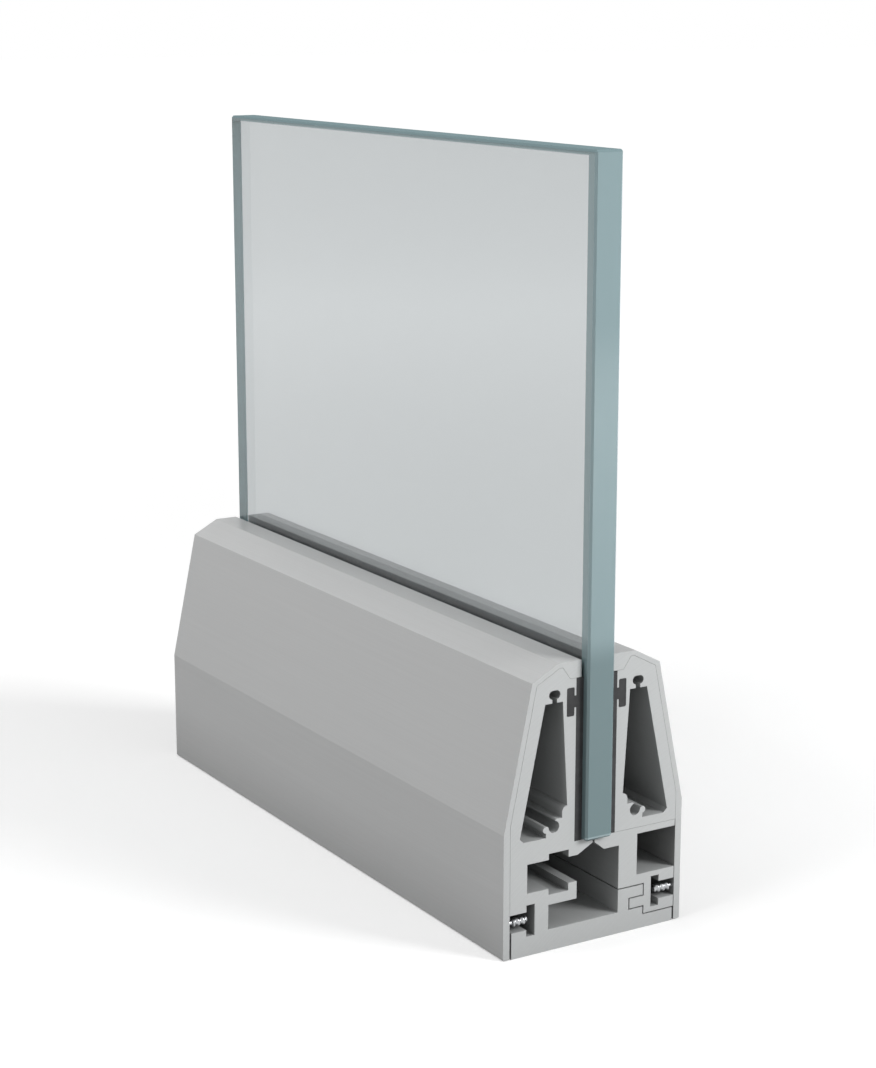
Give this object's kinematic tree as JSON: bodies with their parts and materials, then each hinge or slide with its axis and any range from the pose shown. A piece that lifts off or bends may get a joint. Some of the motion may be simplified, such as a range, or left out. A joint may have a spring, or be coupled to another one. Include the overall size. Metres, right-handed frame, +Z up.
{
  "type": "glass railing bracket",
  "caption": "Clamping base shoe for a frameless glass railing: extruded base with hooked clamp foot, hollow jaws, rubber gaskets, cover profiles and a short glass pane.",
  "frame": {"origin": "middle of the underside of the base, below the mid-plane of the glass and half way along the metal", "axes": "+Z up along the glass, +Y along the shoe away from the cut end that shows, +X across the shoe towards the clamp foot"},
  "size_m": [0.0812, 0.286, 0.2964],
  "materials": {
    "profile": "mill finish, sawn ends",
    "cover": "satin anodised",
    "gasket": "matt extruded",
    "glass": "clear toughened, ground arrises",
    "screw": "zinc plated",
    "stud": "bright plated"
  },
  "bodies": {
    "root": {"base_profile": "profile", "clamp_foot": "profile", "right_jaw": "profile", "left_cover": "cover", "right_cover": "cover", "left_gasket": "gasket", "right_gasket": "gasket", "glass_pane": "glass", "clamp_screw_front": "screw", "clamp_screw_rear": "screw", "clamp_nut_front": "screw", "clamp_nut_rear": "screw", "left_stud_front": "stud", "left_stud_rear": "stud", "right_stud_front": "stud", "right_stud_rear": "stud"}
  },
  "joints": []
}
